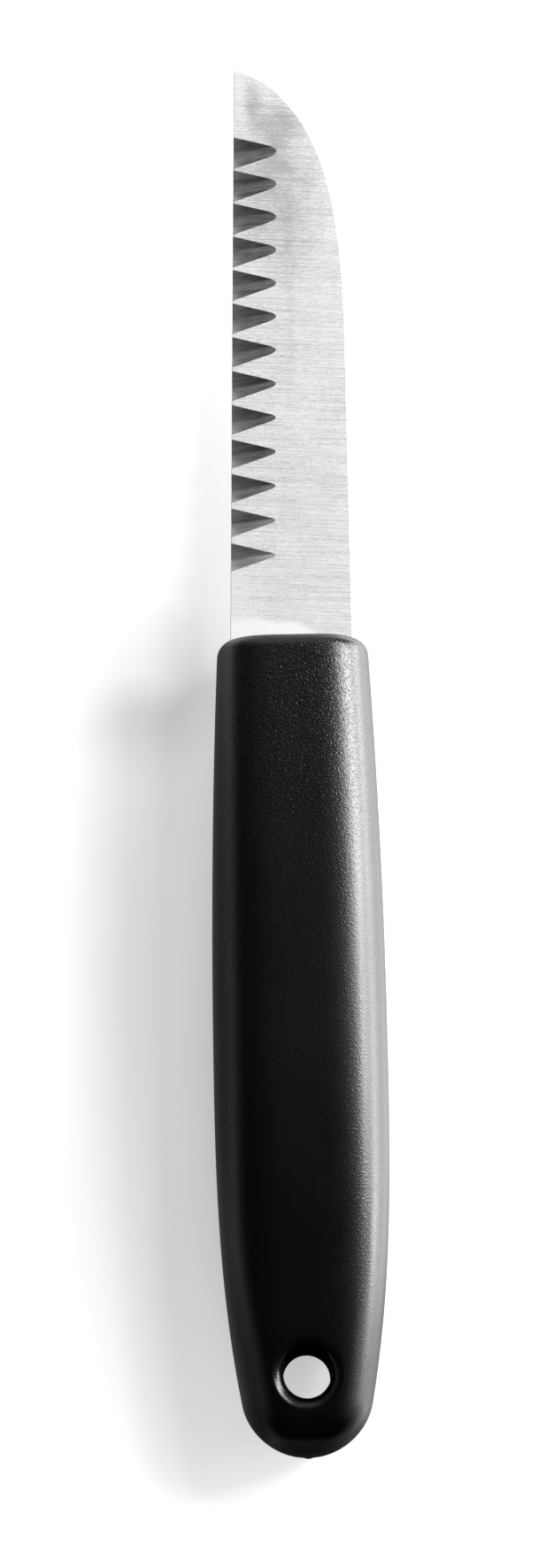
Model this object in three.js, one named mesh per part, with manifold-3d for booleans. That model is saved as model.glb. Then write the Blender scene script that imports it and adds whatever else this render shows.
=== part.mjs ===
// Decorating knife: a stamped steel blade whose edge is ground into a zigzag by V flutes on both
// faces, and a plastic handle moulded around its tang. Millimetres, +Z up. The knife lies on its
// side. +Y runs along the handle to the tip, the cutting edge is at -X and the spine at +X, and
// Z = 0 is the surface that the handle lies on, under the middle of the knife.

import * as THREE from 'three';
import { mergeVertices, toCreasedNormals } from 'three/addons/utils/BufferGeometryUtils.js';
import Module from 'manifold-3d';

const wasm = await Module();
wasm.setup();

// Blade: exposed outline
const bladeLength = 90.5; // tip to the handle's front face
const bladeThickness = 2;
const heelEdge = 8.97; // from the handle's axis to the edge, at the handle
const spineOffset = 8.75; // from the handle's axis to the spine
const edgeLean = 1.16; // degrees, the edge closing on the axis towards the tip
const tipRadius = 0.5;
const tipSlope = 21.6; // degrees, fall of the spine where it meets the tip
const tipHold = 16.3; // stretch of the spine that keeps the slope of the tip
const spineFall = 48; // length over which the spine comes down to the tip
const spineHold = 18.7; // stretch of the fall that keeps the straight spine's direction
const edgeBreak = 0.1; // chamfer on the stamped outline

// Blade: flutes along the edge
const plainTip = 10.75; // edge without flutes at the tip
const plainHeel = 10.7; // edge without flutes at the handle
const flutePitch = 5.3;
const fluteReach = 6.5; // from the edge to the end of a flute
const fluteAngle = 101; // degrees between the walls of a flute
const fluteLean = 2.2; // degrees, flutes leaning towards the tip as they leave the edge
const fluteRootTip = 1.7; // root radius of the flute next to the tip
const fluteRootHeel = 0.55; // root radius of the flute next to the handle
const edgeThickness = 0.3; // steel left under a flute at the edge

// Blade: tang inside the handle
const shoulderDepth = 9; // full-width blade inside the handle
const shoulderRadius = 2;
const tangWidth = 11;
const tangEndRadius = 3;
const tangHoleDiameter = 5;
const tangHoleMargin = 11; // from the shoulder and from the tang's end to a hole's centre
const tangHoles = 2;
const tangEndToHole = 34; // from the tang's end to the centre of the hanging hole

// Handle
const handleLength = 115.1;
const mouthWall = 1.58; // plastic beside the blade's edge at the front face
const bellyWidth = 24.5; // widest place
const bellyFromFront = 56;
const buttWidth = 14.8; // width at the butt, before its corners are rounded
const handleThickness = 17;
const buttThickness = 13; // thickness at the butt, before its edges are rounded
const landWidth = 4; // flat strip along the middle of each broad face
const flankPower = 3; // squareness of the flanks, 2 being an ellipse
const frontRadius = 2;
const buttCornerRadius = 7; // seen from above
const buttEdgeRadius = 5; // seen from the side
const gateDiameter = 1.6;
const gateHeight = 0.2; // stub left by the moulding gate on the butt

// Hanging hole
const holeDiameter = 6.5;
const holeFromButt = 10.9;
const rimRadius = 2;
const rimTurn = 78; // degrees that the rim's rounding turns before it meets the face

// Fit of the blade in the handle
const fitGap = 0.3;

// Facets
const overrun = 2; // how far a cutter runs past what it cuts
const flankSteps = 12; // a quarter of the handle's section
const bodySteps = 24; // stations along the handle between its rounded ends
const frontSteps = 5;
const buttSteps = 9;
const holeSides = 32;
const rimSteps = 4;
const spineSteps = 40;
const cornerSteps = 6; // rounded corners of the blade and its tang
const rootSteps = 8; // root of a flute
const weld = 1e-4; // points closer than this are one
const creaseAngle = 20; // degrees, sharper edges stay sharp when shaded

// Places along Y
const overallLength = bladeLength + handleLength + gateHeight;
const tipY = overallLength / 2;
const frontY = tipY - bladeLength;
const buttY = frontY - handleLength;
const holeY = buttY + holeFromButt;
const tangEndY = holeY + tangEndToHole;
const shoulderY = frontY - shoulderDepth;

const radians = THREE.MathUtils.degToRad;
const lean = radians(edgeLean);
const edgeX = (y) => -heelEdge + (y - frontY) * Math.tan(lean);

// A closed three.js geometry as a solid for adding and cutting.
function solid(geometry) {
  const bare = geometry.clone();
  bare.deleteAttribute('normal');
  bare.deleteAttribute('uv');
  const merged = mergeVertices(bare, weld);
  return new wasm.Manifold(new wasm.Mesh({
    numProp: 3,
    vertProperties: new Float32Array(merged.attributes.position.array),
    triVerts: new Uint32Array(merged.index.array),
  }));
}

// A finished solid as a named mesh.
function part(name, body, material) {
  const { vertProperties, triVerts } = body.getMesh();
  const geometry = new THREE.BufferGeometry();
  geometry.setAttribute('position', new THREE.BufferAttribute(vertProperties, 3));
  geometry.setIndex(new THREE.BufferAttribute(triVerts, 1));
  const mesh = new THREE.Mesh(toCreasedNormals(geometry, radians(creaseAngle)), material);
  mesh.name = name;
  return mesh;
}

// A closed skin over rings of points. Each ring runs anticlockwise about the way the rings advance.
function loft(rings) {
  const sides = rings[0].length;
  const points = rings.flat();
  const index = [];
  for (let k = 0; k + 1 < rings.length; k += 1) {
    for (let i = 0; i < sides; i += 1) {
      const a = k * sides + i;
      const b = k * sides + ((i + 1) % sides);
      index.push(a, b, b + sides, a, b + sides, a + sides);
    }
  }
  const last = (rings.length - 1) * sides;
  for (let i = 1; i + 1 < sides; i += 1) {
    index.push(0, i + 1, i);
    index.push(last, last + i, last + i + 1);
  }
  const geometry = new THREE.BufferGeometry().setFromPoints(points);
  geometry.setIndex(index);
  return geometry;
}

// Points along an arc, turning from one angle to another, in radians.
function arc(x, y, radius, from, to, steps) {
  return new THREE.EllipseCurve(x, y, radius, radius, from, to, to < from).getPoints(steps);
}

// A plate of a given thickness, halved by Z = 0, from an outline in X and Y.
function plate(outline, thickness, chamfer) {
  const geometry = new THREE.ExtrudeGeometry(outline, {
    depth: thickness - 2 * chamfer,
    bevelEnabled: chamfer > 0,
    bevelSegments: 1,
    bevelThickness: chamfer,
    bevelSize: chamfer,
    bevelOffset: -chamfer,
  });
  return geometry.translate(0, 0, chamfer - thickness / 2);
}

// The outline inside the handle, grown by a clearance: from the edge's shoulder round the tang's
// end to the spine's shoulder.
function tangOutline(grow) {
  const shoulder = shoulderY - grow;
  const half = tangWidth / 2 + grow;
  const end = tangEndY - grow;
  const inner = shoulderRadius - grow;
  const outer = tangEndRadius + grow;
  const quarter = Math.PI / 2;
  return [
    new THREE.Vector2(edgeX(shoulder) - grow, shoulder),
    ...arc(-half - inner, shoulder - inner, inner, quarter, 0, cornerSteps),
    ...arc(outer - half, end + outer, outer, 2 * quarter, 3 * quarter, cornerSteps),
    ...arc(half - outer, end + outer, outer, -quarter, 0, cornerSteps),
    ...arc(half + inner, shoulder - inner, inner, 2 * quarter, quarter, cornerSteps),
    new THREE.Vector2(spineOffset + grow, shoulder),
  ];
}

// Centres of the holes along the tang.
function tangHoleCentres() {
  const first = shoulderY - tangHoleMargin;
  const last = tangEndY + tangHoleMargin;
  return Array.from({ length: tangHoles }, (_, i) => first + ((last - first) * i) / (tangHoles - 1));
}

// Falling spine, rounded tip and straight edge, closed by the tang.
function bladeOutline() {
  const slope = radians(tipSlope);
  const tip = new THREE.Vector2(0, tipY - tipRadius);
  tip.x = edgeX(tip.y) + tipRadius / Math.cos(lean);
  const outward = new THREE.Vector2(Math.sin(slope), Math.cos(slope));
  const spineEnd = tip.clone().addScaledVector(outward, tipRadius);
  const downhill = new THREE.Vector2(Math.cos(slope), -Math.sin(slope));
  const tipControl = spineEnd.clone().addScaledVector(downhill, tipHold);
  const fallY = tipY - spineFall;
  const spine = new THREE.CubicBezierCurve(
    new THREE.Vector2(spineOffset, fallY),
    new THREE.Vector2(spineOffset, fallY + spineHold),
    tipControl,
    spineEnd,
  );
  const outline = new THREE.Shape([
    ...spine.getPoints(spineSteps).slice(0, -1),
    ...arc(tip.x, tip.y, tipRadius, Math.PI / 2 - slope, Math.PI - lean, cornerSteps),
    ...tangOutline(0),
  ]);
  for (const y of tangHoleCentres()) {
    const rim = arc(0, y, tangHoleDiameter / 2, 0, -2 * Math.PI, holeSides);
    outline.holes.push(new THREE.Path(rim.slice(0, -1)));
  }
  return outline;
}

// One flute's cutter on the upper face (side 1) or the lower one (side -1). Its section is a V with
// a rounded root. Its root climbs from the steel left at the edge to the face, where the flute ends.
function fluteCutter(y, side, rootRadius) {
  const half = radians(fluteAngle / 2);
  const depth = bladeThickness - edgeThickness;
  const climb = Math.atan2(depth, fluteReach);
  const top = bladeThickness + overrun;
  const spread = (top + rootRadius * (1 / Math.sin(half) - 1)) * Math.tan(half);
  const section = new THREE.Shape([
    new THREE.Vector2(spread, top),
    new THREE.Vector2(-spread, top),
    ...arc(0, rootRadius, rootRadius, Math.PI + half, 2 * Math.PI - half, rootSteps),
  ]);
  const geometry = new THREE.ExtrudeGeometry(section, {
    depth: (fluteReach + 2 * overrun) / Math.cos(climb),
    bevelEnabled: false,
  });
  geometry.translate(0, 0, -overrun / Math.cos(climb));
  const up = new THREE.Vector3(0, 0, side);
  const inward = new THREE.Vector3(Math.cos(radians(fluteLean)), Math.sin(radians(fluteLean)), 0);
  const across = up.clone().cross(inward);
  const axis = inward.clone().multiplyScalar(Math.cos(climb)).addScaledVector(up, Math.sin(climb));
  const normal = axis.clone().cross(across);
  const place = new THREE.Matrix4().makeBasis(across, normal, axis);
  place.setPosition(edgeX(y), y, side * (bladeThickness / 2 - depth));
  return geometry.applyMatrix4(place);
}

// Stamped plate with flutes on the upper face, and one between each two of them on the lower face.
function bladeSolid() {
  const fluted = bladeLength - plainTip - plainHeel;
  const count = Math.floor(fluted / flutePitch);
  let blade = solid(plate(bladeOutline(), bladeThickness, edgeBreak));
  for (let i = 0; i < count; i += 1) {
    const share = count > 1 ? i / (count - 1) : 0;
    const y = tipY - plainTip - (i + 0.5) * flutePitch;
    const root = THREE.MathUtils.lerp(fluteRootTip, fluteRootHeel, share);
    blade = blade.subtract(solid(fluteCutter(y, 1, root)));
    if (i + 1 < count) {
      blade = blade.subtract(solid(fluteCutter(y - flutePitch / 2, -1, fluteRootHeel)));
    }
  }
  return blade;
}

// How far a rounding of a given radius draws the surface in, at a distance from the end.
function drawnIn(distance, radius) {
  const rest = Math.max(radius - distance, 0);
  return radius - Math.sqrt(radius * radius - rest * rest);
}

// Half width and half thickness of the handle at a distance from its front face.
function handleHalves(fromFront) {
  const frontHalf = heelEdge + fitGap + mouthWall;
  const fromButt = handleLength - fromFront;
  const ahead = Math.max(bellyFromFront - fromFront, 0) / bellyFromFront;
  const behind = Math.max(fromFront - bellyFromFront, 0) / (handleLength - bellyFromFront);
  const width = bellyWidth / 2 - (bellyWidth / 2 - frontHalf) * ahead ** 2
    - ((bellyWidth - buttWidth) / 2) * behind ** 3;
  const height = handleThickness / 2 - ((handleThickness - buttThickness) / 2) * behind ** 3;
  const front = drawnIn(fromFront, frontRadius);
  return {
    width: width - front - drawnIn(fromButt, buttCornerRadius),
    height: height - front - drawnIn(fromButt, buttEdgeRadius),
  };
}

// The section: a flat land above and below, joined by squared quarter rounds. Half width and half
// thickness are 1, and the land keeps its share of the width along the handle.
const landShare = landWidth / bellyWidth;

function handleSection() {
  const ring = [];
  for (let quarter = 0; quarter < 4; quarter += 1) {
    for (let i = 0; i <= flankSteps; i += 1) {
      const turn = ((quarter % 2 === 0 ? i : flankSteps - i) / flankSteps) * (Math.PI / 2);
      const x = landShare + (1 - landShare) * Math.cos(turn) ** (2 / flankPower);
      const z = Math.sin(turn) ** (2 / flankPower);
      const right = quarter === 0 || quarter === 3;
      const joint = quarter % 2 === 1 && i === flankSteps;
      if (!joint) ring.push(new THREE.Vector2(right ? x : -x, quarter < 2 ? z : -z));
    }
  }
  return ring;
}

// Height of the handle's upper face above its middle plane, at a place seen from above.
function faceHeight(x, y) {
  const { width, height } = handleHalves(frontY - y);
  const flank = Math.max(Math.abs(x) / width - landShare, 0) / (1 - landShare);
  return height * Math.max(1 - flank ** flankPower, 0) ** (1 / flankPower);
}

// Distances from the front face at which the handle's section is drawn.
function handleStations() {
  const stations = [];
  const quarter = Math.PI / 2;
  for (let i = 0; i < frontSteps; i += 1) {
    stations.push(frontRadius * (1 - Math.cos((quarter * i) / frontSteps)));
  }
  const bodyLength = handleLength - frontRadius - buttCornerRadius;
  for (let i = 0; i <= bodySteps; i += 1) stations.push(frontRadius + (bodyLength * i) / bodySteps);
  for (let i = 1; i <= buttSteps; i += 1) {
    stations.push(handleLength - buttCornerRadius * (1 - Math.sin((quarter * i) / buttSteps)));
  }
  return stations;
}

// The hanging hole's cutter. Its rims are rounded up to the faces all the way round.
function holeCutter() {
  const bore = holeDiameter / 2;
  const turn = radians(rimTurn);
  const rimReach = rimRadius * (1 - Math.cos(turn));
  const rimRise = rimRadius * Math.sin(turn);
  const profile = [];
  for (let i = 0; i <= rimSteps; i += 1) {
    const angle = (turn * i) / rimSteps;
    profile.push({
      out: bore + rimRadius * (1 - Math.cos(angle)),
      below: rimRise - rimRadius * Math.sin(angle),
    });
  }
  profile.push({ out: bore + rimReach + overrun, below: -overrun / Math.tan(turn) });
  const ring = ({ out, below }, side) => Array.from({ length: holeSides }, (_, i) => {
    const angle = (Math.PI * 2 * i) / holeSides;
    const rimX = (bore + rimReach) * Math.cos(angle);
    const rimY = holeY + (bore + rimReach) * Math.sin(angle);
    const z = side * (faceHeight(rimX, rimY) - below);
    return new THREE.Vector3(out * Math.cos(angle), holeY + out * Math.sin(angle), z);
  });
  const cap = (side) => ring(profile.at(-1), side).map((p) => p.setZ(side * handleThickness));
  const lower = profile.map((p) => ring(p, -1)).reverse();
  const upper = profile.map((p) => ring(p, 1));
  return loft([cap(-1), ...lower, ...upper, cap(1)]);
}

// The space for the blade, open at the front face.
function pocketSolid() {
  const mouth = frontY + overrun;
  const outline = new THREE.Shape([
    new THREE.Vector2(spineOffset + fitGap, mouth),
    new THREE.Vector2(edgeX(mouth) - fitGap, mouth),
    ...tangOutline(fitGap),
  ]);
  const postRadius = tangHoleDiameter / 2 - fitGap;
  let pocket = solid(plate(outline, bladeThickness + 2 * fitGap, 0));
  for (const y of tangHoleCentres()) {
    const post = new THREE.CylinderGeometry(postRadius, postRadius, handleThickness, holeSides);
    pocket = pocket.subtract(solid(post.rotateX(Math.PI / 2).translate(0, y, 0)));
  }
  return pocket;
}

// Moulded body with its gate stub, less the blade's pocket and the hanging hole.
function handleSolid() {
  const section = handleSection();
  const rings = handleStations().map((station) => {
    const { width, height } = handleHalves(station);
    return section.map((p) => new THREE.Vector3(p.x * width, frontY - station, p.y * height));
  });
  const gateRadius = gateDiameter / 2;
  const gateLength = gateHeight + overrun;
  const gate = new THREE.CylinderGeometry(gateRadius, gateRadius, gateLength, holeSides);
  gate.translate(0, buttY - gateHeight + gateLength / 2, 0);
  return solid(loft(rings)).add(solid(gate)).subtract(pocketSolid()).subtract(solid(holeCutter()));
}

const steel = new THREE.MeshStandardMaterial({ color: 0xc9cacb, roughness: 0.35, metalness: 1 });
const plastic = new THREE.MeshStandardMaterial({ color: 0x141415, roughness: 0.5, metalness: 0 });

const knife = new THREE.Group();
knife.name = 'decorating_knife';
knife.position.z = handleThickness / 2;
knife.add(part('blade', bladeSolid(), steel));
knife.add(part('handle', handleSolid(), plastic));

export default knife;
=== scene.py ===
"""Decorating knife: the brushed, fluted blade and the grained plastic handle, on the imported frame."""

import math

import bmesh
import bpy
from bpy.props import FloatProperty, FloatVectorProperty, PointerProperty
from bpy.types import Operator, Panel, PropertyGroup
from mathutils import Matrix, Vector


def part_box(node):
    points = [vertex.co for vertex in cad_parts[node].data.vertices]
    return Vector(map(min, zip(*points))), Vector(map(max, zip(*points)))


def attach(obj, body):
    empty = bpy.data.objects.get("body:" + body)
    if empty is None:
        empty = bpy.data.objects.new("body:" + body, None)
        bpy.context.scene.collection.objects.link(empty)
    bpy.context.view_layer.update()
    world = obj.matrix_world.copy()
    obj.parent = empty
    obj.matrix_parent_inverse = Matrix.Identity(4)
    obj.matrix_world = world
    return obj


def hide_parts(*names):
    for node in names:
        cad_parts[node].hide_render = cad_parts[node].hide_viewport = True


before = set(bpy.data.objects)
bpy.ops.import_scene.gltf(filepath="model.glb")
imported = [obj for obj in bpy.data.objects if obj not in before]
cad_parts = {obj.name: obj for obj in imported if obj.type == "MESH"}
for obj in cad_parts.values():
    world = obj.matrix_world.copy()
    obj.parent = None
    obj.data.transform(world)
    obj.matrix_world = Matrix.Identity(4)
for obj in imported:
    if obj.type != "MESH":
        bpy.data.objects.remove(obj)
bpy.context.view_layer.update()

bl_info = {
    "name": "Decorating knife",
    "version": (1, 0, 0),
    "blender": (4, 5, 0),
    "location": "View3D > Sidebar > Knife",
    "description": "Builds the blade, the handle and the stage of a decorating knife",
    "category": "Object",
}

MM = 0.001
PHOTO_HEIGHT = 1772  # pixels

# Where the frame puts the two pieces
BLADE_LOW, BLADE_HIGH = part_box("blade")
HANDLE_LOW, HANDLE_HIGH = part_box("handle")
MIDDLE_Z = (HANDLE_LOW.z + HANDLE_HIGH.z) / 2
HANDLE_CENTRE = (0, (HANDLE_LOW.y + HANDLE_HIGH.y) / 2, HANDLE_LOW.z)

# Mesh fineness
WELD = 0.002 * MM  # points of the frame closer than this are one
FLAT_ANGLE = math.radians(0.3)  # faces that meet flatter than this are one face
SHARP_ANGLE = math.radians(32)  # edges that meet sharper than this stay sharp when shaded
FLANK_STEPS = 28  # a quarter of the handle's section
LAND_CUTS = 6
FRONT_STEPS = 10
BODY_STEPS = 120
BUTT_STEPS = 28
RIM_SEGMENTS = 96
RIM_STEPS = 10
OVERRUN = 2 * MM  # how far a cutter runs past what it cuts

# What tells the faces of the flutes and of the hole from their neighbours
FLUTE_SLOPE = (0.4, 0.999)  # Z of a flute wall's normal
FLUTE_TURN = 0.5  # most X of a flute wall's normal
FLUTE_MARGIN = 1.3  # flute walls lie within this many reaches of the blade's low side
BORE_MARGIN = 1.02  # the bore's wall lies within this many radii
SHADED_RIM = -0.5  # most Y of the normal on the side of the hole's rim that faces the butt

# In the looks below, a pattern has its size along X, Y and Z, and a ramp has its start, its end and
# its values there.

# Brushed faces of the blade
CLOUDS = (3.5 * MM, 5 * MM, 3.5 * MM)
COARSE_LINES = (12 * MM, 0.11 * MM, 12 * MM)
FINE_LINES = (1.2 * MM, 0.10 * MM, 1.2 * MM)
GRIT = (0.24 * MM, 0.13 * MM, 0.24 * MM)
SCRATCHES = (0.1 * MM, 7 * MM, 7 * MM)
BRUSH_DEPTH = 0.006 * MM
LINE_SHADE = 0.8
PLAIN_STRIP = (HANDLE_HIGH.y + 4 * MM, HANDLE_HIGH.y + 5.5 * MM, 1.0, 0.0)  # unbrushed, next to the handle
PLAIN_WAVE = 2 * MM  # waviness of that strip's end
PLAIN_DROP = 3 * MM  # how much nearer to the handle it ends at the spine
SPINE_SIDE = (-1 * MM, BLADE_HIGH.x - 3 * MM, 0.0, 1.0)  # across the blade
WORN_TIP = (70 * MM, 95 * MM, 0.0, 0.1)  # depth of the scratches along the blade
PALE_ALL = 0.1
# Painted light, paler towards the spine
SPINE_PAINTED_LIGHT = 0.02
# Painted light, paler towards the heel
HEEL_PAINTED_LIGHT = (14 * MM, 60 * MM, 0.06, 0.0)  # along the blade
# Painted light on the edge's side, paler places at the heel and at the tip: centre, reach, and how much
# paler
PAINTED_LIGHT_SPOTS = (
    ((BLADE_LOW.x, HANDLE_HIGH.y + 6 * MM, BLADE_HIGH.z), (6 * MM, 14 * MM, 14 * MM), 0.25),
    ((BLADE_LOW.x, BLADE_HIGH.y - 3 * MM, BLADE_HIGH.z), (7 * MM, 10 * MM, 10 * MM), 0.25),
)
# Smudges near the tip: distance from the blade's low side and from the tip, reach along X and Y, turn
# and depth
SMUDGES = (
    (5.0 * MM, 6 * MM, 2.2 * MM, 6 * MM, 0.1, 0.65),
    (8.2 * MM, 9.2 * MM, 6 * MM, 4.6 * MM, -0.4, 0.85),
    (8.6 * MM, 14.5 * MM, 5.2 * MM, 10 * MM, 0.1, 0.72),
    (7.9 * MM, 20 * MM, 8.8 * MM, 17 * MM, 0.1, 0.6),
)
# Dried stain beside the flutes
STAIN_LINE = BLADE_LOW.x + 10.1 * MM  # its sharp side
STAIN_RIM = 0.8 * MM  # width of its sharp side
STAIN_FADE = 3 * MM  # width over which it fades towards the flutes
STAIN_WAVE = 2.5 * MM  # waviness of its sides
STAIN_WAVES = (80 * MM, 3 * MM, 80 * MM)
STAIN_START = (48 * MM, 60 * MM, 0.0, 1.0)  # along the blade
STAIN_END = (75 * MM, 90 * MM, 1.0, 0.0)
STAIN_DEPTH = 0.12

# Ground walls of the flutes
GROUND_LINES = (5 * MM, 0.18 * MM, 1 * MM)
GROUND_STREAKS = (7 * MM, 0.7 * MM, 2 * MM)
PITS = (0.9 * MM, 0.35 * MM, 0.9 * MM)
SPECKS = (0.3 * MM, 0.3 * MM, 0.3 * MM)
GROUND_DEPTH = 0.01 * MM
# Painted light on the flute walls near the cutting edge
EDGE_PAINTED_LIGHT = (0.0, 2.4 * MM, 0.35, 0.0)  # from the cutting edge
DARK_END = (2.6 * MM, 4.6 * MM, 0.0, 0.15)  # from the cutting edge
# Painted light on the flutes near the heel, which also makes their ends paler there
NEAR_HEEL = (HANDLE_HIGH.y + 10 * MM, HANDLE_HIGH.y + 30 * MM, 1.0, 0.0)
FLUTE_HEEL_PAINTED_LIGHT = 0.4

# Plastic of the handle
PATCHES = (9 * MM, 14 * MM, 9 * MM)
GRAIN_DEPTH = 0.019 * MM
GRAIN_FADE = (5 * MM, 50 * MM, 1.0, 0.4)  # from the front
FLANK = (7.7 * MM, 11.2 * MM)  # from the axis to where a flank begins and is full, at the belly
TAPER = (0.0, 32 * MM, 4.2 * MM, 0.0)  # how much nearer to the axis the flanks lie, from the butt
EDGE_FLANK_ROUGHNESS = 0.65
SPINE_FLANK_ROUGHNESS = 0.2
BUTT_ROUGHNESS = (0.5 * MM, 3 * MM, 0.65, 0.0)  # from the butt
TOP_ROUGHNESS = (30 * MM, 60 * MM, 0.24, 0.277)  # from the butt
PATCH_ROUGHNESS = 0.013
OUTER_FLANK = (10.4 * MM, 12.2 * MM, 0.0, 1.0)  # from the axis, at the belly
DULL_FLANK = (20 * MM, 45 * MM, 0.4, 0.0)  # from the butt
DULL_BUTT = (2 * MM, 9 * MM, 0.85, 0.0)  # from the butt
DULL_RIM = 0.6
DULL_RIM_REACH = (9 * MM, 9 * MM, 9 * MM)

# White of the sheet
FIBRES = (0.4 * MM, 2.5 * MM, 1 * MM)
FIBRE_TURN = 0.3
GLOW_CENTRE = (0, HANDLE_CENTRE[1] + 20 * MM, HANDLE_LOW.z)  # where the sheet glows least
NEAR_GLOW = (45 * MM, 105 * MM, 0.56, 0.75)  # from that centre
FAR_GLOW = (200 * MM, 800 * MM, 0.0, 0.25)
# Shade on the sheet under the handle, beside its front and further out: centre, reach and depth
SHADES = (
    (HANDLE_CENTRE, (18 * MM, 70 * MM, 10 * MM), 0.3),
    ((-23 * MM, HANDLE_HIGH.y, HANDLE_LOW.z), (16 * MM, 20 * MM, 10 * MM), 0.2),
    ((-27 * MM, HANDLE_CENTRE[1] + 18 * MM, HANDLE_LOW.z), (9 * MM, 55 * MM, 10 * MM), 0.1),
)
SHOWING_RAYS = ("Camera", "Glossy", "Transmission")  # rays that see the stage as white

# The room, by the Z or the Y of the direction that is looked in
PALE_RISE = (0.05, 0.85, 1.0, 0.0)
PALE_SIDE = (-0.6, 0.2, 0.0, 1.0)
WHITE_RISE = (0.06, 0.14, 1.0, 0.0)

# Soft boxes: place, aim, width and height, in metres
LAMPS = {
    "key": ((0.49, 0.135, 0.37), (0, 0, 0), 0.20, 0.22),
    "front": ((0.36, 0.23, 0.47), (0, 0, 0), 0.18, 0.18),
    "low": ((0.60, 0.10, 0.11), (0, 0.10, 0), 0.42, 0.18),
    "panel": ((0, 0.245, 0.185), (0, 0.108, 0), 0.24, 0.286),
    "table": ((0.16, -0.02, 0.002), (0.16, -0.04, 1), 0.28, 0.34),
}
FLOOR_HALF_SIDE = 30.0


def length(name, description, default):
    """A length that a user may change, in metres."""
    return FloatProperty(
        name=name, description=description, default=default,
        min=0, precision=5, subtype="DISTANCE", unit="LENGTH",
    )


def angle(name, description, degrees):
    """An angle that a user may change, given in degrees."""
    return FloatProperty(
        name=name, description=description, default=math.radians(degrees),
        subtype="ANGLE", unit="ROTATION",
    )


def colour(name, description, default):
    """A linear colour that a user may change."""
    return FloatVectorProperty(
        name=name, description=description, default=default, size=3, min=0, max=1, subtype="COLOR"
    )


def amount(name, description, default):
    """A plain number that a user may change."""
    return FloatProperty(name=name, description=description, default=default, min=0)


class BladeSettings(PropertyGroup):
    """Finish of the steel blade."""

    rim_rounding: length("Rim rounding", "Width of the rounding on the rims of the flutes", 0.05 * MM)
    heel_edge: length("Heel edge", "From the handle's axis to the cutting edge, at the heel", 8.97 * MM)
    edge_lean: angle("Edge lean", "Turn of the cutting edge towards the handle's axis", 1.16)
    flute_reach: length("Flute reach", "From the cutting edge to the end of a flute", 6.5 * MM)
    flute_lean: angle("Flute lean", "Turn of the flutes towards the tip", 2.2)
    brush_lean: angle("Brush lean", "Turn of the brushed lines towards the handle", -3.6)
    steel: colour("Steel", "Brushed faces", (0.82, 0.82, 0.82))
    ground: colour("Ground steel", "Walls of the flutes", (0.15, 0.15, 0.15))


class HandleSettings(PropertyGroup):
    """Form and finish of the moulded handle."""

    gate_height: length("Gate height", "Stub left by the moulding gate on the butt", 0.2 * MM)
    gate_diameter: length("Gate diameter", "Stub left by the moulding gate on the butt", 1.6 * MM)
    front_width: length("Front width", "Width at the front face, before its edge is rounded", 21.7 * MM)
    belly_width: length("Belly width", "Widest place", HANDLE_HIGH.x - HANDLE_LOW.x)
    belly_from_front: length("Belly from front", "From the front face to the widest place", 56 * MM)
    butt_width: length("Butt width", "Width at the butt, before its corners are rounded", 14.8 * MM)
    thickness: length("Thickness", "From the front to the belly", HANDLE_HIGH.z - HANDLE_LOW.z)
    butt_thickness: length("Butt thickness", "At the butt, before its edges are rounded", 13 * MM)
    land_width: length("Land width", "Flat strip along each broad face, at the belly", 4 * MM)
    flank_power: amount("Flank power", "Squareness of the flanks, 2 being an ellipse", 3)
    front_radius: length("Front radius", "Rounding of the front edge", 2 * MM)
    corner_radius: length("Butt corner radius", "Rounding of the butt, seen from above", 7 * MM)
    edge_radius: length("Butt edge radius", "Rounding of the butt, seen from the side", 5 * MM)
    hole_diameter: length("Hole diameter", "Hanging hole", 6.5 * MM)
    hole_from_butt: length("Hole from butt", "Distance of the hole's centre from the butt", 10.9 * MM)
    rim_radius: length("Rim radius", "Rounding of the hole's rims", 2 * MM)
    rim_turn: angle("Rim turn", "Angle that the rim's rounding turns through", 78)
    mouth_gap: length("Mouth gap", "Gap between the plastic and the blade", 0.03 * MM)
    grain_size: length("Grain size", "Width of one grain of the moulded texture", 0.26 * MM)
    plastic: colour("Plastic", "Moulded plastic", (0.0008, 0.0008, 0.0008))
    sheen: amount("Sheen", "Specular level of the plastic, outside the bore", 0.7)


class StageSettings(PropertyGroup):
    """Camera, lamps and floor."""

    aim: FloatVectorProperty(
        name="Aim", description="Point at the middle of the picture",
        default=(-2.6 * MM, -8.2 * MM, 9.5 * MM), size=3, subtype="XYZ", unit="LENGTH",
    )
    distance: length("Distance", "Camera to aim", 474.9 * MM)
    tilt: angle("Tilt", "Camera's lean from straight above towards the butt", 14)
    turn: angle("Turn", "Camera's turn about the vertical", 1.036)
    focal_pixels: amount("Focal length", "In pixels of the photograph", 3753)
    floor: colour("Floor", "Matt white sheet", (0.70, 0.70, 0.70))
    world: colour("World", "Dim room above the sheet", (0.02, 0.02, 0.02))
    horizon: colour("Horizon", "Pale room low around the sheet", (0.32, 0.32, 0.32))
    key: amount("Key", "Radiance of the soft box above the spine's side", 24)
    front: amount("Front", "Radiance of the small soft box high beside the tip", 17)
    low: amount("Low", "Radiance of the soft box low beside the spine", 22)
    panel: amount("Panel", "Radiance of the panel over the tip", 0.55)
    table: amount("Table", "Radiance of the table beside the spine, flooded by the soft boxes", 3.5)


class KnifeSettings(PropertyGroup):
    """Everything that a user may change on the knife."""

    blade: PointerProperty(type=BladeSettings)
    handle: PointerProperty(type=HandleSettings)
    stage: PointerProperty(type=StageSettings)


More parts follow.
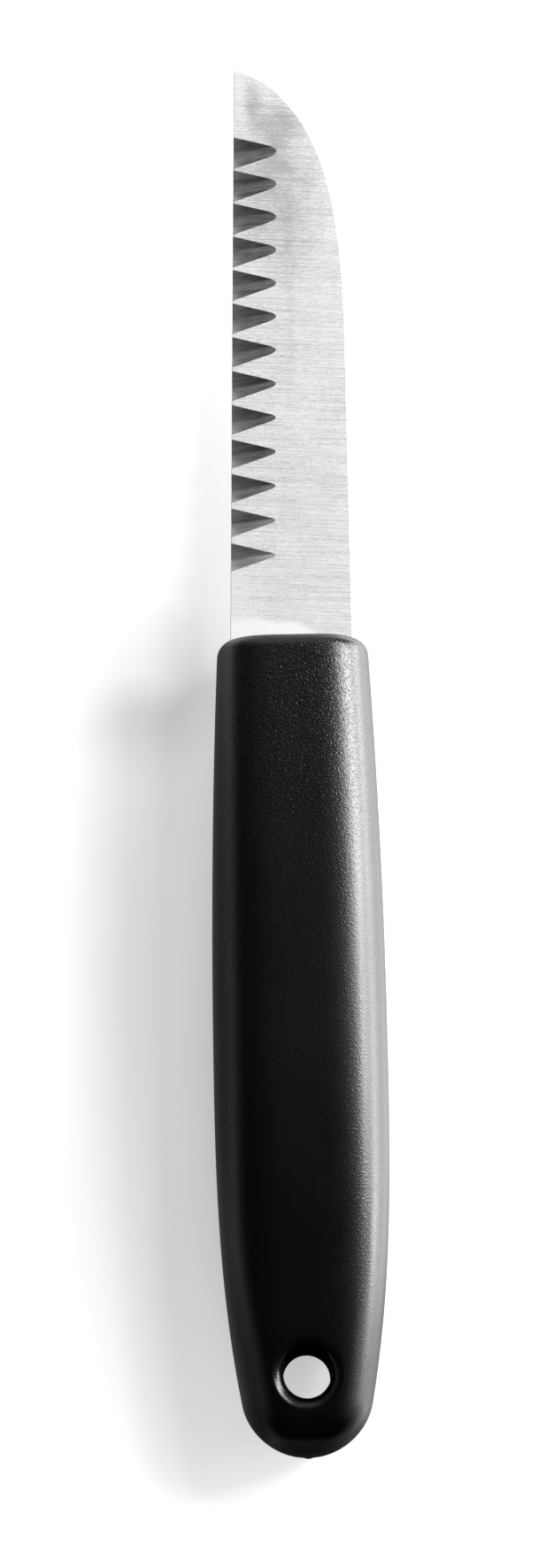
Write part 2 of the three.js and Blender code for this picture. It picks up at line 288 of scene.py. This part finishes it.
class Signal:
    """A shader socket in an expression. Arithmetic on it adds Math nodes to its tree."""

    def __init__(self, tree, socket=None):
        self.tree = tree
        self.socket = socket

    def node(self, kind, settings=None, inputs=None, output=0):
        """Add a node, set its settings, fill its sockets with values or links, and give one output."""
        made = self.tree.nodes.new(kind)
        for name, value in (settings or {}).items():
            setattr(made, name, value)
        for name, value in (inputs or {}).items():
            if isinstance(value, Signal):
                self.tree.links.new(value.socket, made.inputs[name])
            else:
                made.inputs[name].default_value = value
        return Signal(self.tree, made.outputs[output] if made.outputs else None)

    def math(self, operation, *operands):
        """A Math node on this signal and other signals or numbers."""
        return self.node("ShaderNodeMath", {"operation": operation}, dict(enumerate((self, *operands))))

    def __add__(self, other):
        return self.math("ADD", other)

    __radd__ = __add__

    def __mul__(self, other):
        return self.math("MULTIPLY", other)

    def __sub__(self, other):
        return self.math("SUBTRACT", other)

    def __rsub__(self, other):
        return self * -1 + other

    def most(self, other):
        """The larger of this signal and another signal or number."""
        return self.math("MAXIMUM", other)

    def ramp(self, start, end, low=0.0, high=1.0):
        """A smooth step from low to high as this signal goes from start to end."""
        settings = {"interpolation_type": "SMOOTHSTEP"}
        inputs = {"Value": self, "From Min": start, "From Max": end, "To Min": low, "To Max": high}
        return self.node("ShaderNodeMapRange", settings, inputs)

    def laid(self, centre, turn, size):
        """Coordinates about a centre, turned about Z, with a real size as their unit."""
        inputs = {"Vector": self, "Location": centre, "Rotation": (0, 0, turn), "Scale": size}
        return self.node("ShaderNodeMapping", {"vector_type": "TEXTURE"}, inputs)

    def noise(self, size, turn=0.0, detail=2.0):
        """Noise on coordinates, with features of a real size along X, Y and Z, turned about Z."""
        inputs = {"Vector": self.laid((0, 0, 0), turn, size), "Scale": 1.0, "Detail": detail}
        return self.node("ShaderNodeTexNoise", None, inputs)

    def spot(self, centre, reach, turn=0.0):
        """A soft spot on coordinates: 1 at its centre and 0 beyond its reach along X, Y and Z."""
        inputs = {0: self.laid(centre, turn, reach)}
        away = self.node("ShaderNodeVectorMath", {"operation": "LENGTH"}, inputs, "Value")
        return away.ramp(0.1, 1.0, 1.0, 0.0)

    def tint(self, colour_a, colour_b):
        """A colour between two, this signal being the share of the second."""
        inputs = {"Factor": self, 6: colour_a, 7: colour_b}
        return self.node("ShaderNodeMix", {"data_type": "RGBA"}, inputs, 2)

    def bump(self, depth):
        """A normal that follows this signal as a height, with a depth in metres."""
        return self.node("ShaderNodeBump", None, {"Height": self, "Strength": 1.0, "Distance": depth})


def rgba(shade, times=1.0):
    """A socket's colour from a property's, made lighter or darker."""
    return (*(channel * times for channel in shade), 1.0)


def start_material(name):
    """A new material and the Object coordinates that its patterns lie on."""
    material = bpy.data.materials.new(name)
    material.use_nodes = True
    material.node_tree.nodes.clear()
    place = Signal(material.node_tree).node("ShaderNodeTexCoord", output="Object")
    return material, place


def finish_material(place, shader):
    """Send a shader to the surface of the material's output."""
    place.node("ShaderNodeOutputMaterial", None, {"Surface": shader})


def axis(place, name):
    """One coordinate, in metres."""
    return place.node("ShaderNodeSeparateXYZ", None, {"Vector": place}, name)


def shown_rays(place):
    """1 for rays that see the stage as white, and 0 for those that light the knife."""
    shown = 0.0
    for kind in SHOWING_RAYS:
        shown = place.node("ShaderNodeLightPath", None, None, f"Is {kind} Ray").most(shown)
    return shown


def spots(place, table):
    """The sum of soft spots, each given by its centre, its reach and its strength."""
    return sum(place.spot(centre, reach) * strength for centre, reach, strength in table)


def smudges(place):
    """Where the blade is smudged near its tip."""
    shade = 0.0
    for from_low, from_tip, across, along, turn, depth in SMUDGES:
        centre = (BLADE_LOW.x + from_low, BLADE_HIGH.y - from_tip, BLADE_HIGH.z)
        shade = (place.spot(centre, (across, along, along), turn) * depth).most(shade)
    return shade


def stain(place):
    """A dried stain along the flutes, sharp on the spine's side and fading towards the flutes."""
    wave = place.noise(STAIN_WAVES, detail=1.0) - 0.5
    across = axis(place, "X") + wave * STAIN_WAVE
    along = axis(place, "Y")
    faded = across.ramp(STAIN_LINE - STAIN_FADE, STAIN_LINE)
    band = faded * across.ramp(STAIN_LINE, STAIN_LINE + STAIN_RIM, 1.0, 0.0)
    return band * along.ramp(*STAIN_START) * along.ramp(*STAIN_END)


def brushed_steel(look):
    """Steel strip brushed across the blade, plain next to the handle and smudged near the tip, with painted
    light towards the heel and the spine and in spots on the edge's side.
    """
    material, place = start_material("brushed_steel")
    along = axis(place, "Y")
    to_spine = axis(place, "X").ramp(*SPINE_SIDE)
    cloud = place.noise(CLOUDS, detail=3.0)
    plain = (along + cloud * PLAIN_WAVE + to_spine * PLAIN_DROP).ramp(*PLAIN_STRIP)
    coarse = place.noise(COARSE_LINES, look.brush_lean, 1.0).ramp(0.34, 0.54, 0.52, 0.0)
    fine = place.noise(FINE_LINES, look.brush_lean, 1.0).ramp(0.34, 0.60, 0.4, 0.0)
    grit = place.noise(GRIT, look.brush_lean, 1.0).ramp(0.35, 0.65, 0.3, 0.0)
    scratches = place.noise(SCRATCHES, detail=1.0).ramp(0.56, 0.66)
    lines = (coarse + fine) * (1 - plain)
    smudge = smudges(place) * cloud.ramp(0.3, 0.6, 0.6, 1.0)
    streaked = scratches * along.ramp(*WORN_TIP) + cloud.ramp(0.35, 0.65, 0.0, 0.08)
    # Painted light: paler towards the heel, towards the spine and in spots on the edge's side, on top of an
    # even paling
    pale = along.ramp(*HEEL_PAINTED_LIGHT) + to_spine * SPINE_PAINTED_LIGHT + spots(place, PAINTED_LIGHT_SPOTS) + PALE_ALL
    marks = smudge + stain(place) * STAIN_DEPTH + streaked
    shade = lines * LINE_SHADE + grit * (1 - plain) + marks - pale
    shader = place.node("ShaderNodeBsdfPrincipled", None, {
        "Base Color": shade.tint(rgba(look.steel, 1.03), rgba(look.steel, 0.48)),
        "Metallic": plain.ramp(0.0, 1.0, 0.2, 0.05),
        "Roughness": lines.ramp(0.0, 1.0, 0.34, 0.44),
        "Normal": lines.bump(BRUSH_DEPTH),
    })
    finish_material(place, shader)
    return material


def from_edge(place, look):
    """Distance from the cutting edge, which leans towards the handle's axis."""
    along = axis(place, "Y") - HANDLE_HIGH.y
    return axis(place, "X") + look.heel_edge - along * math.tan(look.edge_lean)


def ground_steel(look):
    """Darker steel of the flutes, ground along each flute, with painted light at the edge and the heel, and
    pits.
    """
    material, place = start_material("ground_steel")
    lines = place.noise(GROUND_LINES, look.flute_lean)
    streaks = place.noise(GROUND_STREAKS, look.flute_lean)
    pits = place.noise(PITS).ramp(0.70, 0.73)
    specks = place.noise(SPECKS, detail=1.0).ramp(0.74, 0.79)
    inward = from_edge(place, look)
    heel = axis(place, "Y").ramp(*NEAR_HEEL)
    # Painted light near the edge and the heel; the flutes' ends are darker away from the heel and painted
    # lighter near it
    end = inward.ramp(*DARK_END) * heel.ramp(0.0, 1.0, 1.0, -1.0)
    painted_light = inward.ramp(*EDGE_PAINTED_LIGHT) - end + heel * FLUTE_HEEL_PAINTED_LIGHT
    shade = (lines * 0.5 + streaks * 0.5).ramp(0.3, 0.7, 0.0, 0.5) + painted_light
    # Grinding streaks and painted light set the flutes' colour
    streaked = shade.tint(rgba(look.ground, 0.55), rgba(look.ground, 2.6))
    nicked = specks.tint(streaked, rgba(look.ground, 3.5))
    shader = place.node("ShaderNodeBsdfPrincipled", None, {
        "Base Color": pits.tint(nicked, rgba(look.ground, 0.12)),
        "Metallic": 0.3,
        "Roughness": lines.ramp(0.3, 0.7, 0.5, 0.4),
        "Normal": lines.bump(GROUND_DEPTH),
    })
    finish_material(place, shader)
    return material


def flank_places(place):
    """Distances from the handle's axis towards the edge and the spine, with its taper made up for."""
    taper = (axis(place, "Y") - HANDLE_LOW.y).ramp(*TAPER)
    return taper - axis(place, "X"), taper + axis(place, "X")


def plastic_roughness(place, patch):
    """Satin on top, smoother towards the butt, and matt on the flanks and on the butt itself."""
    from_butt = axis(place, "Y") - HANDLE_LOW.y
    edge_side, spine_side = flank_places(place)
    edge_flank = edge_side.ramp(*FLANK, 0.0, EDGE_FLANK_ROUGHNESS)
    spine_flank = spine_side.ramp(*FLANK, 0.0, SPINE_FLANK_ROUGHNESS)
    matt = (edge_flank + spine_flank).most(from_butt.ramp(*BUTT_ROUGHNESS))
    return matt + from_butt.ramp(*TOP_ROUGHNESS) + patch.ramp(0.3, 0.7, 0.0, PATCH_ROUGHNESS)


def plastic_dullness(place, form):
    """Share of plastic without sheen: on the butt, on the spine's flank near it and on the hole's rim."""
    from_butt = axis(place, "Y") - HANDLE_LOW.y
    spine_side = flank_places(place)[1]
    flank = spine_side.ramp(*OUTER_FLANK) * from_butt.ramp(*DULL_FLANK)
    rim = place.spot((0, hole_place(form), HANDLE_HIGH.z), DULL_RIM_REACH) * DULL_RIM
    return flank.most(from_butt.ramp(*DULL_BUTT)).most(rim)


def moulded_plastic(form, name, sheen):
    """Black plastic with a moulded grain that is crisper at the front, and duller places at the back."""
    material, place = start_material(name)
    grain = place.noise((form.grain_size,) * 3, detail=0.5).ramp(0.46, 0.74)
    crisp = (HANDLE_HIGH.y - axis(place, "Y")).ramp(*GRAIN_FADE)
    patch = place.noise(PATCHES, detail=3.0)
    surface = {
        "Base Color": patch.tint(rgba(form.plastic, 0.7), rgba(form.plastic, 1.3)),
        "Roughness": plastic_roughness(place, patch),
        "Normal": (grain * crisp).bump(GRAIN_DEPTH),
    }
    glossy = place.node("ShaderNodeBsdfPrincipled", None, {**surface, "Specular IOR Level": sheen})
    dull = place.node("ShaderNodeBsdfPrincipled", None, {**surface, "Specular IOR Level": 0.0})
    inputs = {0: plastic_dullness(place, form), 1: glossy, 2: dull}
    finish_material(place, place.node("ShaderNodeMixShader", None, inputs))
    return material


def white_sheet(look):
    """Matt sheet under the knife. The picture shows it white, and it keeps the knife's shadow."""
    material, place = start_material("white_sheet")
    ends = {0: place, 1: GLOW_CENTRE}
    away = place.node("ShaderNodeVectorMath", {"operation": "DISTANCE"}, ends, "Value")
    fibres = place.noise(FIBRES, FIBRE_TURN, 3.0)
    matt = place.node("ShaderNodeBsdfDiffuse", None, {
        "Color": fibres.tint(rgba(look.floor, 0.97), rgba(look.floor, 1.03)),
    })
    light = away.ramp(*NEAR_GLOW) + away.ramp(*FAR_GLOW)
    white = shown_rays(place) * (light - spots(place, SHADES))
    glow = place.node("ShaderNodeEmission", None, {"Color": white.tint((0, 0, 0, 1), (1, 1, 1, 1))})
    finish_material(place, place.node("ShaderNodeAddShader", None, {0: matt, 1: glow}))
    return material


def take_node(name):
    """A merged working copy of one of the frame's nodes, its flat faces whole."""
    bm = bmesh.new()
    bm.from_mesh(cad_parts[name].data)
    bmesh.ops.remove_doubles(bm, verts=bm.verts, dist=WELD)
    bmesh.ops.dissolve_limit(bm, angle_limit=FLAT_ANGLE, verts=bm.verts, edges=bm.edges)
    return bm


def only_edges(geom):
    """The edges among what a bmesh operator gives back."""
    return [item for item in geom if isinstance(item, bmesh.types.BMEdge)]


def next_ring(bm, ring):
    """A new ring of edges, extruded in place from an old one."""
    return only_edges(bmesh.ops.extrude_edge_only(bm, edges=ring)["geom"])


def ring_points(ring):
    """The vertices of a ring of edges, each once."""
    return list({vert for edge in ring for vert in edge.verts})


def mesh_from(bm, name, materials):
    """A smooth mesh with sharp creases from a finished bmesh."""
    mesh = bpy.data.meshes.new(name)
    bm.to_mesh(mesh)
    bm.free()
    return shaded(mesh, materials)


def shaded(mesh, materials):
    """The mesh with its materials, shaded smooth apart from its creases."""
    for material in materials:
        mesh.materials.append(material)
    mesh.shade_smooth()
    mesh.set_sharp_from_angle(angle=SHARP_ANGLE)
    return mesh


def add_object(name, data):
    """A new object at the origin of the scene."""
    made = bpy.data.objects.new(name, data)
    bpy.context.scene.collection.objects.link(made)
    return made


def add_piece(name, mesh, node):
    """A finished piece that stands for one of the frame's nodes."""
    piece = add_object(name, mesh)
    normals = piece.modifiers.new("face_normals", "WEIGHTED_NORMAL")
    normals.keep_sharp = True
    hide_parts(node)
    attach(piece, "root")
    return piece


def flute_faces(bm, reach):
    """Faces of the flutes: sloping, near the cutting edge, and not part of the blade's broken outline."""
    steepest, flattest = FLUTE_SLOPE
    found = []
    for face in bm.faces:
        sloping = steepest < abs(face.normal.z) < flattest and abs(face.normal.x) < FLUTE_TURN
        if sloping and face.calc_center_median().x < BLADE_LOW.x + FLUTE_MARGIN * reach:
            found.append(face)
    return found


def blade_mesh(look):
    """The frame's blade with flutes of their own material and rounded rims round them."""
    bm = take_node("blade")
    flutes = flute_faces(bm, look.flute_reach)
    for face in flutes:
        face.material_index = 1
    rims = {edge for face in flutes for edge in face.edges if edge.calc_face_angle() > SHARP_ANGLE}
    bmesh.ops.bevel(
        bm, geom=list(rims), offset=look.rim_rounding, offset_type="OFFSET", segments=2, profile=0.5,
        affect="EDGES", clamp_overlap=True, material=-1,
    )
    return mesh_from(bm, "fluted_blade", (brushed_steel(look), ground_steel(look)))


def drawn_in(distance, radius):
    """How far a rounded end draws the surface in, at a distance from that end."""
    rest = max(radius - distance, 0)
    return radius - math.sqrt(radius**2 - rest**2)


def handle_length(form):
    """Length of the handle without its gate stub."""
    return HANDLE_HIGH.y - HANDLE_LOW.y - form.gate_height


def hole_place(form):
    """Where the hanging hole lies along the handle."""
    return HANDLE_LOW.y + form.gate_height + form.hole_from_butt


def handle_halves(form, from_front):
    """Half width and half thickness of the handle, at a distance from its front face."""
    whole = handle_length(form)
    ahead = max(form.belly_from_front - from_front, 0) / form.belly_from_front
    behind = max(from_front - form.belly_from_front, 0) / (whole - form.belly_from_front)
    width = form.belly_width - (form.belly_width - form.front_width) * ahead**2
    width -= (form.belly_width - form.butt_width) * behind**3
    height = form.thickness - (form.thickness - form.butt_thickness) * behind**3
    front = drawn_in(from_front, form.front_radius)
    corner = drawn_in(whole - from_front, form.corner_radius)
    edge = drawn_in(whole - from_front, form.edge_radius)
    return width / 2 - front - corner, height / 2 - front - edge


def face_height(form, x, y):
    """Height of the handle's upper face above its middle plane, at a place seen from above."""
    land = form.land_width / form.belly_width
    width, height = handle_halves(form, HANDLE_HIGH.y - y)
    flank = max(abs(x) / width - land, 0) / (1 - land)
    return height * max(1 - flank**form.flank_power, 0) ** (1 / form.flank_power)


def handle_stations(form):
    """Distances from the front face of the sections, which are closer together at the rounded ends."""
    whole = handle_length(form)
    straight = whole - form.front_radius - form.corner_radius
    front_turns = [math.pi / 2 * i / FRONT_STEPS for i in range(FRONT_STEPS)]
    butt_turns = [math.pi / 2 * i / BUTT_STEPS for i in range(BUTT_STEPS + 1)]
    front = [form.front_radius * (1 - math.cos(turn)) for turn in front_turns]
    body = [form.front_radius + straight * i / BODY_STEPS for i in range(BODY_STEPS)]
    butt = [whole - form.corner_radius * (1 - math.sin(turn)) for turn in butt_turns]
    return front + body + butt


def section_ring(bm, form):
    """The handle's section at unit size: four squared quarter rounds, joined by flat lands."""
    land = form.land_width / form.belly_width
    start = bm.verts.new((1, 0, 0))
    bmesh.ops.spin(
        bm, geom=[start], cent=(0, 0, 0), axis=(0, -1, 0), dvec=(0, 0, 0),
        angle=math.pi / 2, steps=FLANK_STEPS,
    )
    for vert in bm.verts:
        vert.co.x = max(vert.co.x, 0) ** (2 / form.flank_power)
        vert.co.z = max(vert.co.z, 0) ** (2 / form.flank_power)
    bmesh.ops.scale(bm, vec=(1 - land, 1, 1), verts=bm.verts)
    bmesh.ops.translate(bm, vec=(land, 0, 0), verts=bm.verts)
    for side in "ZX":
        bmesh.ops.mirror(bm, geom=bm.verts[:] + bm.edges[:], axis=side, merge_dist=1e-5)
    ends = [vert for vert in bm.verts if len(vert.link_edges) == 1]
    upper = [vert for vert in ends if vert.co.z > 0]
    lower = [vert for vert in ends if vert.co.z <= 0]
    lands = [bm.edges.new(upper), bm.edges.new(lower)]
    bmesh.ops.subdivide_edges(bm, edges=lands, cuts=LAND_CUTS)
    return bm.edges[:]


def moulded_body(form):
    """The handle without its openings, drawn from the front face to the butt."""
    bm = bmesh.new()
    first = ring = section_ring(bm, form)
    bmesh.ops.translate(bm, vec=(0, HANDLE_HIGH.y, 0), verts=bm.verts)
    past_station, past_width, past_height = 0.0, 1.0, 1.0
    for number, station in enumerate(handle_stations(form)):
        if number:
            ring = next_ring(bm, ring)
        points = ring_points(ring)
        width, height = handle_halves(form, station)
        bmesh.ops.scale(bm, vec=(width / past_width, 1, height / past_height), verts=points)
        bmesh.ops.translate(bm, vec=(0, past_station - station, 0), verts=points)
        past_station, past_width, past_height = station, width, height
    for end in (first, ring):
        bmesh.ops.contextual_create(bm, geom=end)
    bmesh.ops.translate(bm, vec=(0, 0, MIDDLE_Z), verts=bm.verts)
    bmesh.ops.recalc_face_normals(bm, faces=bm.faces)
    return bm


def gate_stub(form):
    """Domed stub of the moulding gate, half sunk into the butt."""
    bm = bmesh.new()
    radius = form.gate_diameter / 2
    depth = 2 * form.gate_height
    bmesh.ops.create_uvsphere(
        bm, u_segments=RIM_SEGMENTS // 2, v_segments=RIM_SEGMENTS // 4, radius=radius
    )
    bmesh.ops.scale(bm, vec=(1, depth / radius, 1), verts=bm.verts)
    bmesh.ops.translate(bm, vec=(0, HANDLE_LOW.y + depth, MIDDLE_Z), verts=bm.verts)
    return bm


def rim_profile(form):
    """Section of the hole's rim, from the bore outwards: radius, and depth below the face."""
    bore = form.hole_diameter / 2
    rise = form.rim_radius * math.sin(form.rim_turn)
    profile = []
    for step in range(RIM_STEPS + 1):
        turn = form.rim_turn * step / RIM_STEPS
        profile.append((
            bore + form.rim_radius * (1 - math.cos(turn)),
            rise - form.rim_radius * math.sin(turn),
        ))
    return profile


def hole_cutter(form):
    """Cutter of the hanging hole, with rims that round over onto the faces all the way round."""
    profile = rim_profile(form)
    reach = profile[-1][0]
    profile.append((reach + OVERRUN, -OVERRUN / math.tan(form.rim_turn)))
    hole_y = hole_place(form)
    bm = bmesh.new()
    bmesh.ops.create_circle(bm, segments=RIM_SEGMENTS, radius=form.hole_diameter / 2)
    ring = bm.edges[:]
    for out, below in profile:
        ring = next_ring(bm, ring)
        for vert in ring_points(ring):
            way = vert.co.xy.normalized()
            rim = way * reach
            vert.co = (*(way * out), face_height(form, rim.x, rim.y + hole_y) - below)
    bmesh.ops.contextual_create(bm, geom=ring)
    geom = bm.verts[:] + bm.edges[:] + bm.faces[:]
    bmesh.ops.mirror(bm, geom=geom, axis="Z", merge_dist=WELD)
    bmesh.ops.translate(bm, vec=(0, hole_y, MIDDLE_Z), verts=bm.verts)
    bmesh.ops.recalc_face_normals(bm, faces=bm.faces)
    return bm


def tang_cutter(form):
    """Cutter of the space for the tang: the blade inside the handle, a little larger."""
    bm = take_node("blade")
    geom = bm.verts[:] + bm.edges[:] + bm.faces[:]
    mouth = (0, HANDLE_HIGH.y + OVERRUN, 0)
    cut = bmesh.ops.bisect_plane(
        bm, geom=geom, dist=WELD, plane_co=mouth, plane_no=(0, 1, 0), clear_outer=True
    )
    bmesh.ops.contextual_create(bm, geom=only_edges(cut["geom_cut"]))
    bmesh.ops.recalc_face_normals(bm, faces=bm.faces)
    bm.normal_update()
    gap = form.mouth_gap
    grown = [vert.co + vert.normal * vert.calc_shell_factor() * gap for vert in bm.verts]
    for vert, place in zip(bm.verts, grown):
        vert.co = place
    return bm


def cut_mesh(form):
    """The moulded body with its gate stub, less the hanging hole and the space for the tang."""
    body = add_object("body", mesh_from(moulded_body(form), "body", ()))
    tools = []
    for operation, bm in (
        ("UNION", gate_stub(form)), ("DIFFERENCE", hole_cutter(form)), ("DIFFERENCE", tang_cutter(form)),
    ):
        tool = add_object("tool", mesh_from(bm, "tool", ()))
        tools.append(tool)
        modifier = body.modifiers.new("cut", "BOOLEAN")
        modifier.operation = operation
        modifier.solver = "EXACT"
        modifier.object = tool
    finished = body.evaluated_get(bpy.context.evaluated_depsgraph_get())
    mesh = bpy.data.meshes.new_from_object(finished)
    for spent in (body, *tools):
        old = spent.data
        bpy.data.objects.remove(spent)
        bpy.data.meshes.remove(old)
    return mesh


def handle_mesh(form):
    """The finished handle, matt in the bore and on the side of its rim that lies in shade."""
    mesh = cut_mesh(form)
    mesh.name = "moulded_handle"
    plastic = moulded_plastic(form, "moulded_plastic", form.sheen)
    shaded(mesh, (plastic, moulded_plastic(form, "matt_bore", 0.0)))
    bore = form.hole_diameter / 2
    hole_centre = Vector((0, hole_place(form)))
    for face in mesh.polygons:
        from_hole = (face.center.xy - hole_centre).length
        in_bore = from_hole < BORE_MARGIN * bore
        on_rim = from_hole < bore + form.rim_radius
        if in_bore or (on_rim and face.normal.y < SHADED_RIM):
            face.material_index = 1
    return mesh


def add_camera(look):
    """Camera at the photograph's viewing angle."""
    data = bpy.data.cameras.new("camera")
    data.lens = look.focal_pixels * data.sensor_width / PHOTO_HEIGHT
    data.clip_start = 10 * MM
    camera = add_object("camera", data)
    lean = math.sin(look.tilt)
    back = Vector((-lean * math.sin(look.turn), -lean * math.cos(look.turn), math.cos(look.tilt)))
    camera.location = Vector(look.aim) + back * look.distance
    camera.rotation_mode = "QUATERNION"
    camera.rotation_quaternion = (-back).to_track_quat("-Z", "Y")
    bpy.context.scene.camera = camera


def add_lamp(name, place, aim, width, height, radiance):
    """A rectangular soft box of a given radiance, turned to its aim."""
    data = bpy.data.lights.new(name, "AREA")
    data.shape = "RECTANGLE"
    data.size = width
    data.size_y = height
    data.energy = radiance * math.pi * width * height
    lamp = add_object(name, data)
    lamp.location = place
    lamp.rotation_mode = "QUATERNION"
    lamp.rotation_quaternion = (Vector(aim) - Vector(place)).to_track_quat("-Z", "Y")
    lamp.visible_camera = False


def add_world(look):
    """A dim room, pale low around the sheet but for the butt's side, and white where it meets the sheet."""
    world = bpy.data.worlds.new("room")
    world.use_nodes = True
    world.node_tree.nodes.clear()
    way = Signal(world.node_tree).node("ShaderNodeTexCoord", output="Generated")
    pale = axis(way, "Z").ramp(*PALE_RISE) * axis(way, "Y").ramp(*PALE_SIDE)
    room = pale.tint(rgba(look.world), rgba(look.horizon))
    far = shown_rays(way) * axis(way, "Z").ramp(*WHITE_RISE)
    sky = way.node("ShaderNodeBackground", None, {"Color": far.tint(room, (1, 1, 1, 1))})
    way.node("ShaderNodeOutputWorld", None, {"Surface": sky})
    bpy.context.scene.world = world


def add_floor(look):
    """The sheet that the knife lies on."""
    bm = bmesh.new()
    bmesh.ops.create_grid(bm, x_segments=1, y_segments=1, size=FLOOR_HALF_SIDE)
    bmesh.ops.translate(bm, vec=(0, 0, HANDLE_LOW.z), verts=bm.verts)
    floor = add_object("floor", mesh_from(bm, "floor", (white_sheet(look),)))


class DECORATING_KNIFE_OT_blade(Operator):
    """Add the fluted steel blade"""

    bl_idname = "decorating_knife.blade"
    bl_label = "Blade"

    def execute(self, context):
        look = context.scene.decorating_knife.blade
        add_piece("fluted_blade", blade_mesh(look), "blade")
        return {"FINISHED"}


class DECORATING_KNIFE_OT_handle(Operator):
    """Add the moulded plastic handle"""

    bl_idname = "decorating_knife.handle"
    bl_label = "Handle"

    def execute(self, context):
        form = context.scene.decorating_knife.handle
        add_piece("moulded_handle", handle_mesh(form), "handle")
        return {"FINISHED"}


class DECORATING_KNIFE_OT_stage(Operator):
    """Add the floor, the lamps, the room and the camera"""

    bl_idname = "decorating_knife.stage"
    bl_label = "Stage"

    def execute(self, context):
        look = context.scene.decorating_knife.stage
        context.scene.view_settings.view_transform = "Standard"
        add_floor(look)
        add_world(look)
        for name, box in LAMPS.items():
            add_lamp(name, *box, getattr(look, name))
        add_camera(look)
        return {"FINISHED"}


class DECORATING_KNIFE_PT_sidebar(Panel):
    """Sizes, colours and build buttons of the knife"""

    bl_idname = "DECORATING_KNIFE_PT_sidebar"
    bl_label = "Decorating knife"
    bl_space_type = "VIEW_3D"
    bl_region_type = "UI"
    bl_category = "Knife"

    def draw(self, context):
        knife = context.scene.decorating_knife
        for operator, settings in (
            (DECORATING_KNIFE_OT_blade, knife.blade),
            (DECORATING_KNIFE_OT_handle, knife.handle),
            (DECORATING_KNIFE_OT_stage, knife.stage),
        ):
            box = self.layout.box()
            box.operator(operator.bl_idname)
            for name in settings.__annotations__:
                box.prop(settings, name)


CLASSES = (
    BladeSettings,
    HandleSettings,
    StageSettings,
    KnifeSettings,
    DECORATING_KNIFE_OT_blade,
    DECORATING_KNIFE_OT_handle,
    DECORATING_KNIFE_OT_stage,
    DECORATING_KNIFE_PT_sidebar,
)


def register():
    """Make the knife's settings, operators and panel known."""
    for item in CLASSES:
        bpy.utils.register_class(item)
    bpy.types.Scene.decorating_knife = PointerProperty(type=KnifeSettings)


def unregister():
    """Take the knife's settings, operators and panel away again."""
    del bpy.types.Scene.decorating_knife
    for item in reversed(CLASSES):
        bpy.utils.unregister_class(item)


def main():
    """Build the knife and its stage."""
    register()
    bpy.ops.decorating_knife.blade()
    bpy.ops.decorating_knife.handle()
    bpy.ops.decorating_knife.stage()


if __name__ == "__main__":
    main()
